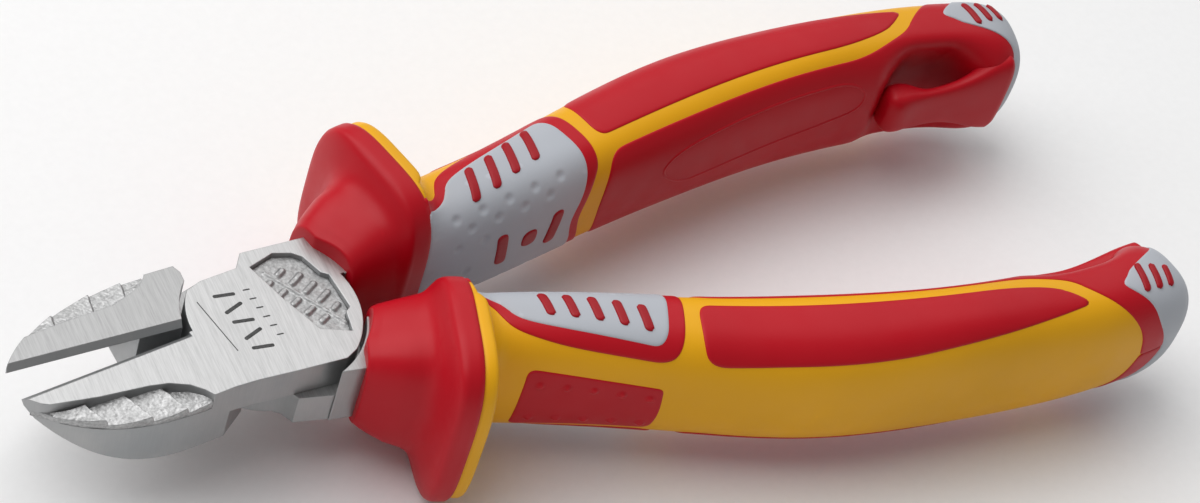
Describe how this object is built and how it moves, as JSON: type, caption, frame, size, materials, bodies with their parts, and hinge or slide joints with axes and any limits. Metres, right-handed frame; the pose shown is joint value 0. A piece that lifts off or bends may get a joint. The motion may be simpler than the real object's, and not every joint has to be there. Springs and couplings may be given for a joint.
{
  "type": "diagonal cutting pliers",
  "caption": "Insulated diagonal cutting pliers: forged lap-jointed jaws with bevelled edges on a flush rivet, and cranked moulded grips with finger guards and lanyard loops.",
  "frame": {"origin": "on the pivot axis, in the head's flat back face", "axes": "+X along the handles away from the jaws, +Z out of the head's front face, +Y towards the front half's handle"},
  "size_m": [0.1605, 0.0644, 0.0279],
  "materials": {
    "forged_steel": "fine ground faces, satin sides",
    "rivet_steel": "ground flush",
    "red_plastic": "fine grained soft plastic",
    "grey_plastic": "fine grained soft plastic",
    "yellow_plastic": "fine grained hard plastic"
  },
  "bodies": {
    "front_half": {"jaw_half_front": "forged_steel", "pivot_rivet": "rivet_steel", "front_sleeve": "yellow_plastic", "front_guard": "red_plastic", "front_saddle": "grey_plastic", "front_saddle_marks": "red_plastic", "front_back_pad": "red_plastic", "front_grip_top": "red_plastic", "front_grip_bottom": "red_plastic", "front_inner_cover": "red_plastic", "front_end_cap": "grey_plastic", "front_cap_marks": "red_plastic"},
    "rear_half": {"jaw_half_rear": "forged_steel", "rear_sleeve": "yellow_plastic", "rear_guard": "red_plastic", "rear_saddle": "grey_plastic", "rear_saddle_marks": "red_plastic", "rear_back_pad": "red_plastic", "rear_grip_top": "red_plastic", "rear_grip_bottom": "red_plastic", "rear_inner_cover": "red_plastic", "rear_end_cap": "grey_plastic", "rear_cap_marks": "red_plastic"}
  },
  "joints": [
    {"name": "pivot", "type": "hinge", "parent": "front_half", "child": "rear_half", "pos_m": [0, 0, 0.00485], "axis": [0, 0, 1], "range_deg": [-31, 7]}
  ]
}
